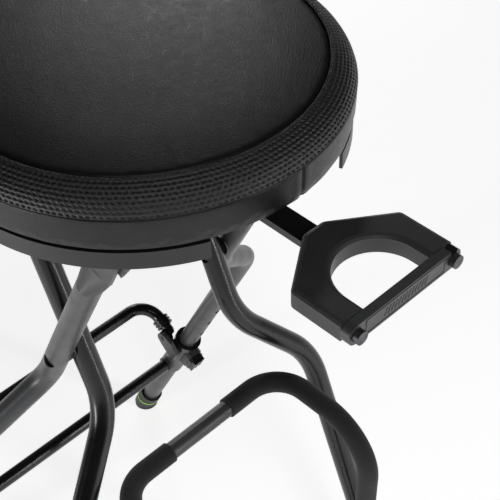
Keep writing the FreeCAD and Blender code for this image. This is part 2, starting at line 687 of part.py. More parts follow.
def padded_cradle():
    left, right = cradle_runs()
    radius = num("cradle_tube") / 2
    bends = [num("front_bend"), num("bar_bend"), num("bar_bend"), num("front_bend")]
    loop = swept(left + right[::-1], bends, radius, radius - num("tube_wall"))
    for side in (-1, 1):
        spot = CRADLE_HINGE + Y_AXIS * (side * num("cradle_half"))
        heading = (left[1] - left[0]).normalize()
        lug = Part.makeCylinder(radius, 9, spot, heading).fuse(Part.makeSphere(radius, spot))
        eye = Part.makeCylinder(3.05, 40, spot - Y_AXIS * 20, Y_AXIS)
        loop = loop.fuse(lug).cut(eye)
    free_shape("cradle_tube", loop)

    for name, run in (("left", left), ("right", right)):
        side = SIDES[name]
        hinge, front, back = run
        start = hinge + (front - hinge).normalize() * (num("foam_end") - hinge.z)
        inner_end = vec(back.x, side * num("foam_start"), back.z)
        foam = swept([start, front, back, inner_end], [num("front_bend"), num("bar_bend")],
                     num("foam_radius"), radius + 0.1)
        free_shape("foam_sleeve_" + name, foam)

    ears, pins = [], []
    for side in (-1, 1):
        middle = side * num("cradle_half")
        pin = cylinder("cradle_pin", "3", "26", CRADLE_HINGE + Y_AXIS * middle, Y_AXIS)
        pins.append(pin)
        for offset in (-10.5, 10.5):
            across = middle + offset - 1.5
            reach = num("hinge_reach")
            ear = Part.makeBox(20, 3, reach, vec(num("brace_place") - 10, across, 0))
            tip = Part.makeCylinder(10, 3, vec(num("brace_place"), across, reach), Y_AXIS)
            eye = Part.makeCylinder(3, 3, vec(num("brace_place"), across, reach), Y_AXIS)
            bar = Part.makeCylinder(num("brace_radius"), 3, vec(num("brace_place"), across, 0), Y_AXIS)
            ears.append(ear.fuse(tip).cut(eye).cut(bar).removeSplitter())
    node = doc.addObject("Part::Feature", "cradle_ears")
    node.Shape = Part.makeCompound(ears)
    node.Placement = INNER
    NODES["cradle_ears"] = node
    group("cradle_pins", pins)


# ---------------------------------------------------------------- footrest

def knob_outline(across, along, half):
    """A rectangle with cut corners round the plunger, as (down the leg, across) points."""
    near, far = "plunger_place - " + along, "plunger_place + " + along
    low, high = across + " - " + half, across + " + " + half
    return [(near, low + " + 3"), (near + " + 3", low), (far + " - 3", low), (far, low + " + 3"),
            (far, high + " - 3"), (far + " - 3", high), (near + " + 3", high), (near, high + " - 3")]


def slide_block(name, side):
    """Sleeve on the outer leg with its bar boss, plunger housing and the ear for the loop."""
    across = "%d * outer_lower" % side
    bore = "outer_tube / 2 + slide_gap"
    body = make_body("slide_block_" + name, OUTER)
    ring = sketch_on(body, "YZ_Plane", "sleeve_start", "sleeve_outline")
    draw_circle(ring, (across, "0"), bore + " + sleeve_wall")
    pad(body, ring, "sleeve_end - sleeve_start", "sleeve")

    boss_face = "-outer_lower" if side > 0 else "boss_inner"
    boss = sketch_on(body, "XZ_Plane", boss_face, "boss_outline")
    draw_circle(boss, ("bar_place", "0"), "boss_radius")
    pad(body, boss, "outer_lower - boss_inner", "bar_boss")

    housing = sketch_on(body, "XY_Plane", "0", "plunger_housing_outline")
    draw_polygon(housing, knob_outline(across, "14", "housing_half"))
    pad(body, housing, "housing_top", "plunger_housing")

    ear_face = "-(knuckle_half - 3.5)" if side > 0 else "knuckle_half - 8"
    ear = sketch_on(body, "XZ_Plane", ear_face, "ear_outline")
    draw_circle(ear, ("loop_place", "-loop_drop"), "knuckle_radius - 0.5")
    pad(body, ear, "4.5", "ear_eye")
    web = sketch_on(body, "XZ_Plane", ear_face, "web_outline")
    draw_polygon(web, [("loop_place + 9", "-loop_drop"), ("loop_place + 16", "7"), ("sleeve_start", "7"),
                       ("loop_place - 9", "-7"), ("loop_place - 9", "-loop_drop")])
    pad(body, web, "4.5", "ear_web")
    foot_face = "10 - outer_lower" if side > 0 else "knuckle_half - 8"
    foot = sketch_on(body, "XZ_Plane", foot_face, "ear_foot_outline")
    draw_polygon(foot, [("sleeve_start", "-11.3"), ("loop_place + 12", "-11.3"), ("loop_place + 15", "7"),
                        ("sleeve_start", "7")])
    pad(body, foot, "outer_lower - knuckle_half - 2", "ear_foot")

    round_cut(body, "YZ_Plane", (across, "0"), bore)
    round_cut(body, "XY_Plane", ("plunger_place", across), "3.1", "0", "60", True)
    round_cut(body, "XZ_Plane", ("loop_place", "-loop_drop"), "3.05")


def block_collar(name, side):
    """Plain ring that closes the top of the sliding sleeve."""
    across = "%d * outer_lower" % side
    body = make_body("block_collar_" + name, OUTER)
    ring = sketch_on(body, "YZ_Plane", "sleeve_start - collar_height", "collar_outline")
    draw_circle(ring, (across, "0"), "collar_radius")
    pad(body, ring, "collar_height", "collar")
    round_cut(body, "YZ_Plane", (across, "0"), "outer_tube / 2 + slide_gap")


def footrest_parts():
    for name, side in SIDES.items():
        slide_block(name, side)
        block_collar(name, side)
        across = "%d * outer_lower" % side
        pin = make_body("plunger_pin_" + name, OUTER)
        shank = sketch_on(pin, "XY_Plane", "outer_tube / 2 + 0.3", "pin_outline")
        draw_circle(shank, ("plunger_place", across), "3")
        pad(pin, shank, "housing_top + 8.4 - outer_tube / 2 - 0.3", "pin")

        knob = make_body("plunger_knob_" + name, OUTER)
        grip = sketch_on(knob, "XY_Plane", "housing_top + 0.4", "grip_outline")
        draw_polygon(grip, knob_outline(across, "12", "(housing_half - 0.5)"))
        pad(knob, grip, "4.6", "grip")
        for i in (-1, 0, 1):
            rib = sketch_on(knob, "XY_Plane", "housing_top + 4", "rib_outline")
            low, high = "%s + %d - 1.7" % (across, 6 * i), "%s + %d + 1.7" % (across, 6 * i)
            draw_polygon(rib, [("plunger_place - 10", low), ("plunger_place + 10", low),
                               ("plunger_place + 10", high), ("plunger_place - 10", high)])
            pad(knob, rib, "6", "rib")
        round_cut(knob, "XY_Plane", ("plunger_place", across), "3", "housing_top + 0.4", "8", True)

    middle = OUTER.multVec(vec(num("bar_place"), 0, 0))
    bar = cylinder("bar_outer", "bar_radius", "2 * boss_inner", middle, Y_AXIS)
    bore = cylinder("bar_bore", "bar_radius - tube_wall", "2 * boss_inner + 20", middle, Y_AXIS)
    keep("footrest_bar", cut("footrest_bar", bar, bore))


def footrest_loop():
    place, drop, reach = num("loop_place"), num("loop_drop"), num("loop_reach")
    half, radius, bridge = num("loop_half"), num("loop_radius"), num("bridge_drop")
    core = num("knuckle_radius")
    start = bridge + 6.2
    side_run = {side: [vec(place, side * half, -start), vec(place, side * half, -drop - reach)]
                for side in (-1, 1)}
    runs = side_run[-1] + side_run[1][::-1]
    tube = swept(runs, [num("loop_bend")] * 2, radius, radius - num("tube_wall"))
    free_shape("loop_tube", tube, OUTER)

    out = Z_AXIS * -1
    for name, side in SIDES.items():
        inner = side * num("knuckle_half")
        spot = vec(place, inner, -drop)
        barrel = Part.makeCylinder(core, 6.5, vec(place, inner - 3.25, -drop), Y_AXIS)
        eye = Part.makeCylinder(3.05, 20, spot - Y_AXIS * 10, Y_AXIS)
        length = half - num("knuckle_half")
        bridge_start = vec(place, min(inner, side * half), -bridge)
        arm = Part.makeCylinder(5.8, length, bridge_start, Y_AXIS)
        socket = Part.makeCylinder(6.2, 6.2, vec(place, side * half, -bridge), out)
        ball = Part.makeSphere(5.8, vec(place, side * half, -bridge))
        knuckle = barrel.fuse(arm).fuse(ball).fuse(socket).cut(eye)
        free_shape("loop_knuckle_" + name, knuckle, OUTER)

        base = vec(place, side * half, -start)
        ribs = Part.makeCylinder(radius + 1.4, 12, base + out * 1.4, out)
        for i in range(3):
            ribs = ribs.fuse(Part.makeCylinder(radius + 3, 2, base + out * (1.7 + 4.4 * i), out))
        bore = Part.makeCylinder(radius, 16, base - out, out)
        free_shape("ribbed_collar_" + name, ribs.cut(bore), OUTER)

    pins = [cylinder("loop_pin", "3", "13",
                     OUTER.multVec(vec(place, side * (num("knuckle_half") - 2.2), -drop)), Y_AXIS)
            for side in (-1, 1)]
    group("loop_pins", pins)


# ---------------------------------------------------------------- build and write

for side_name, side_sign in SIDES.items():
    inner_leg(side_name, side_sign)
    outer_leg(side_name, side_sign)
    hinge_bracket(side_name, side_sign)
pivot_hardware()
rubber_feet("inner", INNER, "inner_lower", "inner_tube")
rubber_feet("outer", OUTER, "outer_lower", "outer_tube")
inner_cross_tubes()
cushion()
seat_base()
seat_underside()
neck_hanger()
closing_strap()
padded_cradle()
footrest_parts()
footrest_loop()
doc.recompute()

for item in doc.Objects:
    if "Invalid" in item.State or "Error" in item.State:
        raise ValueError("%s failed: %s" % (item.Label, item.State))

os.makedirs("parts", exist_ok=True)
shift = FreeCAD.Placement(vec(num("seat_shift"), 0, 0), FreeCAD.Rotation())
for label, item in NODES.items():
    item.Placement = shift.multiply(item.Placement)
    shape = item.Shape
    if shape.isNull() or not shape.isValid() or not shape.Solids:
        raise ValueError(label + " has no valid solid")
    shape.exportStep("parts/%s.step" % label)
    box = shape.BoundBox
    print("%-24s solids %d  volume %9.0f  x %.1f..%.1f  y %.1f..%.1f  z %.1f..%.1f" % (
        label, len(shape.Solids), shape.Volume, box.XMin, box.XMax, box.YMin, box.YMax, box.ZMin, box.ZMax))
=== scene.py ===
import json
import math

import bpy
from mathutils import Matrix, Vector, noise


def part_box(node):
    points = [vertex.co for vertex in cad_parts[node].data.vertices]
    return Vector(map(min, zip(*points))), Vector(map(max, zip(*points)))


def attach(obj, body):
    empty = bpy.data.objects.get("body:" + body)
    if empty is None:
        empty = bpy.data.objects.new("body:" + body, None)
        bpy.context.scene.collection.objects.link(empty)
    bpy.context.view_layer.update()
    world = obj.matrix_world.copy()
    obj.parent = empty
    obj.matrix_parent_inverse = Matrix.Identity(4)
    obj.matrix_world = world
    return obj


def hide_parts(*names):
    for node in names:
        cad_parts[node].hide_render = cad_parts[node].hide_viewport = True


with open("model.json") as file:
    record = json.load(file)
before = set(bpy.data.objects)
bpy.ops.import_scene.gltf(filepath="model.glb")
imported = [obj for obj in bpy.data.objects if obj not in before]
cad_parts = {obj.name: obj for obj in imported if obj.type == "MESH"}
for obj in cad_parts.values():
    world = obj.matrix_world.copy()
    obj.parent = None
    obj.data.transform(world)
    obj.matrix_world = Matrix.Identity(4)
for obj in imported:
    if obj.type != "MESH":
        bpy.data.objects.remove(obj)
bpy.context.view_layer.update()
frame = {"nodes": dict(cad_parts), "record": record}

NODES = frame["nodes"]
MM = 0.001
SEAM_LOW, SEAM_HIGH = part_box("mesh_border")
SEAT_X = (SEAM_LOW.x + SEAM_HIGH.x) / 2
SEAT_RADIUS = (SEAM_HIGH.x - SEAM_LOW.x) / 2
SEAM_Z = SEAM_LOW.z
BAND_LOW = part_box("side_band")[0].z
PANEL_LOW, PANEL_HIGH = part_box("top_panel")
PANEL_RADIUS = (PANEL_HIGH.x - PANEL_LOW.x) / 2
STRAP_LOW, STRAP_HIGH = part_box("closing_strap")
STRAP_FRONT = STRAP_HIGH.x
EDGE_ROUND = 0.5 * MM
EDGE_ANGLE = math.radians(42)


# ---------------------------------------------------------------- materials

class Shader:
    """A principled material with short calls for the nodes that feed it."""

    def __init__(self, name, color, roughness, metallic=0.0, specular=0.5):
        self.material = bpy.data.materials.new(name)
        self.material.use_nodes = True
        self.tree = self.material.node_tree
        self.nodes = self.tree.nodes
        self.main = self.nodes["Principled BSDF"]
        self.set("Base Color", (*color, 1))
        self.set("Roughness", roughness)
        self.set("Metallic", metallic)
        self.set("Specular IOR Level", specular)
        self.normal = None

    def set(self, socket, value):
        self.main.inputs[socket].default_value = value

    def node(self, kind, **settings):
        made = self.nodes.new(kind)
        for key, value in settings.items():
            setattr(made, key, value)
        return made

    def link(self, source, target):
        self.tree.links.new(source, target)

    def coords(self, stretch=(1, 1, 1)):
        place = self.node("ShaderNodeTexCoord")
        mapping = self.node("ShaderNodeMapping")
        mapping.inputs["Scale"].default_value = stretch
        self.link(place.outputs["Object"], mapping.inputs["Vector"])
        return mapping.outputs["Vector"]

    def noise(self, scale, detail=3.0, vector=None, roughness=0.55):
        made = self.node("ShaderNodeTexNoise")
        made.inputs["Scale"].default_value = scale
        made.inputs["Detail"].default_value = detail
        made.inputs["Roughness"].default_value = roughness
        self.link(vector or self.coords(), made.inputs["Vector"])
        return made.outputs["Fac"]

    def cells(self, scale, vector=None, feature="DISTANCE_TO_EDGE"):
        made = self.node("ShaderNodeTexVoronoi", feature=feature)
        made.inputs["Scale"].default_value = scale
        self.link(vector or self.coords(), made.inputs["Vector"])
        return made.outputs["Distance"]

    def spread(self, source, low, high, start=0.3, stop=0.7):
        made = self.node("ShaderNodeMapRange")
        made.inputs["From Min"].default_value = start
        made.inputs["From Max"].default_value = stop
        made.inputs["To Min"].default_value = low
        made.inputs["To Max"].default_value = high
        self.link(source, made.inputs["Value"])
        return made.outputs["Result"]

    def tint(self, source, dark, light):
        made = self.node("ShaderNodeMix", data_type="RGBA")
        made.inputs["A"].default_value = (*dark, 1)
        made.inputs["B"].default_value = (*light, 1)
        self.link(source, made.inputs["Factor"])
        self.link(made.outputs["Result"], self.main.inputs["Base Color"])

    def rough(self, source, low, high):
        self.link(self.spread(source, low, high), self.main.inputs["Roughness"])

    def bump(self, source, strength, distance):
        made = self.node("ShaderNodeBump")
        made.inputs["Strength"].default_value = strength
        made.inputs["Distance"].default_value = distance
        self.link(source, made.inputs["Height"])
        if self.normal:
            self.link(self.normal, made.inputs["Normal"])
        self.normal = made.outputs["Normal"]
        self.link(self.normal, self.main.inputs["Normal"])


def gloss_coat(name, color, roughness):
    """Powder coat with a faint orange peel and dust in the sheen."""
    s = Shader(name, color, roughness)
    s.rough(s.noise(34, 4), roughness - 0.04, roughness + 0.07)
    s.bump(s.noise(900, 2), 0.05, 0.0003)
    s.tint(s.spread(s.noise(12, 3), 0, 1), [c * 0.85 for c in color], [c * 1.2 for c in color])
    return s.material


def satin_coat(name, color, roughness):
    """Fine-textured satin powder coat."""
    s = Shader(name, color, roughness)
    s.rough(s.noise(60, 4), roughness - 0.05, roughness + 0.08)
    s.bump(s.noise(1900, 3), 0.16, 0.0002)
    s.tint(s.spread(s.noise(1500, 2), 0, 1), [c * 0.86 for c in color], [c * 1.12 for c in color])
    return s.material


def moulded(name, color, roughness, grain=0.12):
    """Moulded plastic or rubber with a fine spark-eroded grain."""
    s = Shader(name, color, roughness)
    s.rough(s.noise(45, 4), roughness - 0.06, roughness + 0.08)
    s.bump(s.noise(2300, 3), grain, 0.00025)
    s.tint(s.spread(s.noise(25, 4), 0, 1), [c * 0.8 for c in color], [c * 1.2 for c in color])
    return s.material


def vinyl(name, color):
    """Upholstery vinyl: pebbled grain over soft creases, with painted shade in the grooves between
    pebbles.
    """
    s = Shader(name, color, 0.38, specular=0.32)
    grain = s.cells(560)
    s.rough(s.noise(110, 4), 0.34, 0.42)
    s.bump(s.noise(60, 3), 0.07, 0.0008)
    s.bump(s.noise(240, 3), 0.1, 0.0004)
    s.bump(s.spread(grain, 0, 1, 0.0, 0.22), 0.34, 0.00022)
    # painted shade: the grooves between pebbles darker and the pebble tops lighter, on the same cells
    # that sink the grooves in the bump
    s.tint(s.spread(grain, 0, 1, 0.0, 0.2), [c * 0.6 for c in color], [c * 1.15 for c in color])
    return s.material


def knit(name, color):
    """Spacer knit: its gaps are modelled; this paints shade into them and adds a fine yarn grain."""
    s = Shader(name, color, 0.4, specular=0.5)
    depth = s.node("ShaderNodeAttribute", attribute_name="relief")
    height = s.spread(depth.outputs["Fac"], 0, 1, 0.15, 0.95)
    # painted shade: the sunk gaps go nearly black and the loop tops a little lighter, by the knit's
    # height
    s.tint(height, [c * 0.02 for c in color], [c * 1.2 for c in color])
    s.bump(s.noise(2200, 2), 0.5, 0.0003)
    return s.material


def cell_foam(name, color):
    """Closed-cell foam tube: matte, finely pitted, with painted shade in the pits."""
    s = Shader(name, color, 0.88, specular=0.25)
    pits = s.cells(1500, feature="F1")
    s.set("Sheen Weight", 0.12)
    s.bump(s.noise(260, 3), 0.15, 0.0006)
    s.bump(pits, 0.35, 0.0003)
    # painted shade: darker in the pits and lighter around them, on the same cells that sink the pits in
    # the bump
    s.tint(s.spread(pits, 0, 1, 0.1, 0.6), [c * 0.6 for c in color], [c * 1.4 for c in color])
    return s.material


def plywood(name):
    """The seat board: plywood stained black."""
    s = Shader(name, (0.03, 0.025, 0.02), 0.6)
    grain = s.noise(9, 6, s.coords((1, 14, 90)))
    s.tint(s.spread(grain, 0, 1), (0.016, 0.014, 0.012), (0.045, 0.038, 0.03))
    s.bump(grain, 0.2, 0.0004)
    return s.material


def blackened(name, color, roughness):
    """Blackened fastener steel with brighter rubbed patches."""
    s = Shader(name, color, roughness, metallic=0.8)
    s.rough(s.noise(120, 4), roughness - 0.06, roughness + 0.12)
    s.tint(s.spread(s.noise(260, 4), 0, 1), color, [c * 2.2 for c in color])
    s.bump(s.noise(1500, 2), 0.05, 0.0002)
    return s.material


LOOKS = {
    "black_gloss": gloss_coat("black_gloss_coat", (0.005, 0.005, 0.0055), 0.23),
    "charcoal_satin": satin_coat("charcoal_satin_coat", (0.05, 0.051, 0.054), 0.36),
    "fastener_steel": blackened("blackened_steel", (0.05, 0.05, 0.053), 0.4),
    "foot_rubber": moulded("foot_rubber", (0.012, 0.013, 0.016), 0.5),
    "green_ring": moulded("green_rubber", (0.33, 0.75, 0.02), 0.42, 0.05),
    "cover_vinyl": vinyl("black_vinyl", (0.006, 0.006, 0.0063)),
    "border_knit": knit("black_knit", (0.016, 0.016, 0.0165)),
    "plywood": plywood("dark_board"),
    "skirt_plastic": moulded("skirt_plastic", (0.009, 0.009, 0.0098), 0.4),
    "arm_steel": gloss_coat("arm_coat", (0.002, 0.002, 0.0022), 0.3),
    "yoke_plastic": moulded("yoke_core_plastic", (0.026, 0.0265, 0.0285), 0.45),
    "yoke_rubber": moulded("yoke_rubber", (0.042, 0.0425, 0.045), 0.5, 0.2),
    "strap_rubber": moulded("strap_rubber", (0.05, 0.051, 0.054), 0.42, 0.16),
    "sleeve_foam": cell_foam("sleeve_foam", (0.024, 0.024, 0.025)),
    "block_plastic": moulded("block_plastic", (0.06, 0.061, 0.065), 0.4, 0.14),
    "black_plastic": moulded("black_plastic", (0.007, 0.007, 0.0075), 0.3, 0.05),
}
SHARP_NODES = ("seat_board", "foam_sleeve_left", "foam_sleeve_right", "seat_foam", "top_panel",
               "mesh_border", "side_band", "pivot_washers", "inner_foot_rings", "outer_foot_rings")


def dress_cad_nodes():
    """Every carried-over CAD node takes its slot's material."""
    for part in frame["record"]["subparts"]:
        look = LOOKS.get(part["material_slot"])
        target = NODES[part["node"]]
        if look is None:
            continue
        if not target.material_slots:
            target.data.materials.append(look)
        for place in target.material_slots:
            place.material = look
        if part["node"] not in SHARP_NODES:
            edge = target.modifiers.new("edge_round", "BEVEL")
            edge.width = EDGE_ROUND
            edge.segments = 2
            edge.limit_method = "ANGLE"
            edge.angle_limit = EDGE_ANGLE
            edge.use_clamp_overlap = True


# ---------------------------------------------------------------- mesh helpers

def add_piece(name, verts, faces, body, slot_name):
    """Makes a smooth-shaded piece that rides on a body and wears a material slot."""
    mesh = bpy.data.meshes.new(name)
    mesh.from_pydata([tuple(v) for v in verts], [], faces)
    mesh.update()
    for face in mesh.polygons:
        face.use_smooth = True
    piece = bpy.data.objects.new(name, mesh)
    bpy.context.scene.collection.objects.link(piece)
    mesh.materials.append(LOOKS[slot_name])
    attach(piece, body)
    return piece


def smooth_line(points, steps):
    """Evenly spaced points on a Catmull-Rom curve through the given points, and its length."""
    fine = []
    ends = [points[0] * 2 - points[1]] + points + [points[-1] * 2 - points[-2]]
    for a, b, c, d in zip(ends, ends[1:], ends[2:], ends[3:]):
        for i in range(12):
            t = i / 12
            fine.append(0.5 * (2 * b + (c - a) * t + (2 * a - 5 * b + 4 * c - d) * t * t
                               + (3 * b - a - 3 * c + d) * t ** 3))
    fine.append(points[-1])
    lengths = [0.0]
    for a, b in zip(fine, fine[1:]):
        lengths.append(lengths[-1] + (b - a).length)
    line = []
    j = 0
    for i in range(steps + 1):
        goal = lengths[-1] * i / steps
        while j < len(lengths) - 2 and lengths[j + 1] < goal:
            j += 1
        span = max(lengths[j + 1] - lengths[j], 1e-9)
        line.append(fine[j].lerp(fine[j + 1], (goal - lengths[j]) / span))
    return line, lengths[-1]


def outline_normals(profile):
    """The way out of a (radius, height) outline at each of its points."""
    last = len(profile) - 1
    normals = []
    for i in range(len(profile)):
        run = profile[min(i + 1, last)] - profile[max(i - 1, 0)]
        normals.append(Vector((run.y, -run.x)).normalized())
    return normals


CLOTH_AROUND = 180
CLOTH_FRAMES = 20


def blown_cover(profile, rows, cap, pressure, spare):
    """Simulates a turned cover panel sewn down at both edges and blown up by its foam.

    Gives back a function of (turn, share of the profile) with how far the cloth has moved
    outwards, along the ring and up. The move is capped and fades out at the two seams.
    """
    last = len(profile) - 1
    picks = [profile[round(i * last / (rows - 1))] for i in range(rows)]
    verts, faces = [], []
    for k in range(CLOTH_AROUND):
        turn = 2 * math.pi * k / CLOTH_AROUND
        for point in picks:
            verts.append((point.x * math.cos(turn), point.x * math.sin(turn), point.y))
    for k in range(CLOTH_AROUND):
        a, b = k * rows, ((k + 1) % CLOTH_AROUND) * rows
        for i in range(rows - 1):
            faces.append((a + i, b + i, b + i + 1, a + i + 1))
    mesh = bpy.data.meshes.new("cloth_trial")
    mesh.from_pydata(verts, [], faces)
    trial = bpy.data.objects.new("cloth_trial", mesh)
    bpy.context.scene.collection.objects.link(trial)
    seams = trial.vertex_groups.new(name="seams")
    held = [k * rows + i for k in range(CLOTH_AROUND) for i in range(rows)
            if i == 0 or (i == rows - 1 and picks[-1].x > PANEL_RADIUS / 2)]
    seams.add(held, 1.0, "REPLACE")
    cloth = trial.modifiers.new("cloth", "CLOTH")
    settings = cloth.settings
    settings.quality = 6
    settings.mass = 0.3
    settings.tension_stiffness = 30
    settings.compression_stiffness = 20
    settings.shear_stiffness = 12
    settings.bending_stiffness = 0.6
    settings.vertex_group_mass = "seams"
    settings.shrink_min = -spare
    settings.use_pressure = True
    settings.uniform_pressure_force = pressure
    settings.effector_weights.gravity = 0
    cloth.collision_settings.use_collision = False
    scene = bpy.context.scene
    for frame_number in range(1, CLOTH_FRAMES + 1):
        scene.frame_set(frame_number)
    graph = bpy.context.evaluated_depsgraph_get()
    moved = [v.co.copy() for v in trial.evaluated_get(graph).data.vertices]
    bpy.data.objects.remove(trial)
    bpy.data.meshes.remove(mesh)
    scene.frame_set(1)

    shifts = []
    for k in range(CLOTH_AROUND):
        turn = 2 * math.pi * k / CLOTH_AROUND
        out = Vector((math.cos(turn), math.sin(turn), 0))
        along = Vector((-math.sin(turn), math.cos(turn), 0))
        for i in range(rows):
            step = moved[k * rows + i] - Vector(verts[k * rows + i])
            if step.length > cap:
                step *= cap / step.length
            shifts.append(Vector((step.dot(out), step.dot(along), step.z)))

    def drift(turn, share):
        u = (turn / (2 * math.pi) * CLOTH_AROUND) % CLOTH_AROUND
        v = share * (rows - 1)
        k, i = int(u), min(int(v), rows - 2)
        fu, fv = u - k, v - i
        near, far = (k % CLOTH_AROUND) * rows, ((k + 1) % CLOTH_AROUND) * rows
        low = shifts[near + i].lerp(shifts[far + i], fu)
        high = shifts[near + i + 1].lerp(shifts[far + i + 1], fu)
        return low.lerp(high, fv)

    return drift


def revolve(name, profile, around, slot_name, relief=None, mark=None, drift=None):
    """Turns (radius, height) points about the seat's axis.

    relief moves a point along its normal, mark is kept as the mesh's "relief" attribute, and
    drift adds the move of the blown-up cloth.
    """
    count = len(profile)
    normals = outline_normals(profile)
    verts, faces, depths = [], [], []
    for k in range(around):
        turn = 2 * math.pi * k / around
        for i, (point, out) in enumerate(zip(profile, normals)):
            lift = relief(turn, i, count) if relief else 0.0
            depths.append(mark(turn, i, count) if mark else 0.0)
            move = drift(turn, i / (count - 1)) if drift else Vector((0, 0, 0))
            radius = point.x + out.x * lift + move.x
            x = radius * math.cos(turn) - move.y * math.sin(turn)
            y = radius * math.sin(turn) + move.y * math.cos(turn)
            verts.append(Vector((SEAT_X + x, y, point.y + out.y * lift + move.z)))
    for k in range(around):
        a, b = k * count, ((k + 1) % around) * count
        for i in range(count - 1):
            faces.append((a + i, b + i, b + i + 1, a + i + 1))
    piece = add_piece(name, verts, faces, "seat", slot_name)
    if mark:
        # the knit material paints shade into its gaps from this mark
        layer = piece.data.attributes.new("relief", "FLOAT", "POINT")
        layer.data.foreach_set("value", depths)
    return piece


# ---------------------------------------------------------------- seat

LOOP_PITCH = 4.6 * MM
ROW_PITCH = 3.4 * MM
KNIT_DEPTH = 0.95 * MM
KNIT_AROUND = 1356
KNIT_STEPS = 56
GAP_WIDE = 0.85
GAP_TALL = 1.25
GAP_FLOOR = 0.19
GAP_SLOPE = 0.17
PANEL_SEAM_RISE = 19.0 * MM
CROWN_RISE = 24.0 * MM
CREASE_REACH = 16 * MM
CREASE_DEPTH = 0.35 * MM
PANEL_SINK = 1.2 * MM
PANEL_WAVE = 0.3 * MM
BAND_SINK = 0.5 * MM
BAND_WAVE = 0.25 * MM
SIDE_JOIN = math.radians(2.5)
JOIN_DEPTH = 0.9 * MM
JOIN_WIDTH = 1.3 * MM
JOIN_SWELL = 0.35 * MM
BAND_STITCHES = 260
PANEL_STITCHES = 226
BAND_STITCH_DROP = 3.2 * MM
PANEL_STITCH_RISE = 19.5 * MM
STITCH_SHAPE = ((-0.5, 0.25), (-0.38, 0.85), (0, 1.0), (0.38, 0.85), (0.5, 0.25))
CORD_WOBBLE = 0.3 * MM


def rim_profile(steps):
    """The rounded shoulder of the cushion, from the outer seam in to the panel's seam."""
    points = [Vector((SEAT_RADIUS, SEAM_Z)), Vector((SEAT_RADIUS - 1.6 * MM, SEAM_Z + 4.5 * MM)),
              Vector((SEAT_RADIUS - 5.2 * MM, SEAM_Z + 10.2 * MM)),
              Vector((SEAT_RADIUS - 11.5 * MM, SEAM_Z + 15.6 * MM)),
              Vector((PANEL_RADIUS + 2.5 * MM, SEAM_Z + 19.6 * MM)),
              Vector((PANEL_RADIUS, SEAM_Z + PANEL_SEAM_RISE))]
    return smooth_line(points, steps)


def mesh_border():
    """The knit shoulder of the cushion: rows of sunk gaps, laid like bricks."""
    line, length = rim_profile(KNIT_STEPS)
    rows = length / ROW_PITCH
    cells = round(2 * math.pi * SEAT_RADIUS / LOOP_PITCH)

    def loop_height(turn, i, count):
        v = rows * i / (count - 1)
        row = math.floor(v)
        u = turn / (2 * math.pi) * cells + 0.5 * (row % 2)
        spot = noise.noise(Vector((math.cos(turn) * 300, math.sin(turn) * 300, v * 1.3)))
        fu = u - math.floor(u) - 0.5 + 0.16 * spot
        fv = v - row - 0.5 + 0.35 * fu + 0.12 * spot
        spread = math.sqrt((fu * GAP_WIDE) ** 2 + (fv * GAP_TALL) ** 2)
        return min(max((spread - GAP_FLOOR - 0.06 * spot) / GAP_SLOPE, 0.0), 1.0)

    def lift(turn, i, count):
        edge = min(i, count - 1 - i) / (count - 1)
        fade = min(1.0, edge * 14)
        return (loop_height(turn, i, count) - 1.0) * KNIT_DEPTH * fade

    # loop_height also becomes the "relief" mark, from which the knit material paints shade into the
    # gaps
    piece = revolve("knit_border", line, KNIT_AROUND, "border_knit", lift, loop_height)
    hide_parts("mesh_border")


def creases(radius, turn, reach):
    """Short radial puckers where the cover is pulled to a seam at the given reach."""
    near = max(0.0, 1 - abs(radius - reach) / CREASE_REACH)
    wave = noise.noise(Vector((math.cos(turn) * 23, math.sin(turn) * 23, 3.1)))
    wave += 0.5 * noise.noise(Vector((math.cos(turn) * 61, math.sin(turn) * 61, 8.4)))
    return wave * near * near * CREASE_DEPTH


def top_panel():
    """The crowned vinyl top, sewn down inside the knit border."""
    points = [Vector((PANEL_RADIUS + 0.4 * MM, SEAM_Z + 17.6 * MM)),
              Vector((PANEL_RADIUS - 0.3 * MM, SEAM_Z + 18.9 * MM)),
              Vector((PANEL_RADIUS - 2.2 * MM, SEAM_Z + 19.7 * MM)),
              Vector((PANEL_RADIUS - 10 * MM, SEAM_Z + 20.8 * MM)),
              Vector((100 * MM, SEAM_Z + 22.8 * MM)), Vector((50 * MM, SEAM_Z + 23.7 * MM)),
              Vector((0.2 * MM, SEAM_Z + CROWN_RISE))]
    line, _ = smooth_line(points, 110)

    def lift(turn, i, count):
        radius = line[i].x
        slow = noise.noise(Vector((SEAT_X + radius * math.cos(turn), radius * math.sin(turn), 0)) * 14)
        calm = min(1.0, radius / 0.02)
        return (creases(radius, turn, PANEL_RADIUS) + slow * PANEL_WAVE) * calm - PANEL_SINK

    drift = blown_cover(line, 34, 1.3 * MM, 3.0, 0.012)
    piece = revolve("seat_top_panel", line, 360, "cover_vinyl", lift, drift=drift)
    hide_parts("top_panel", "seat_foam")


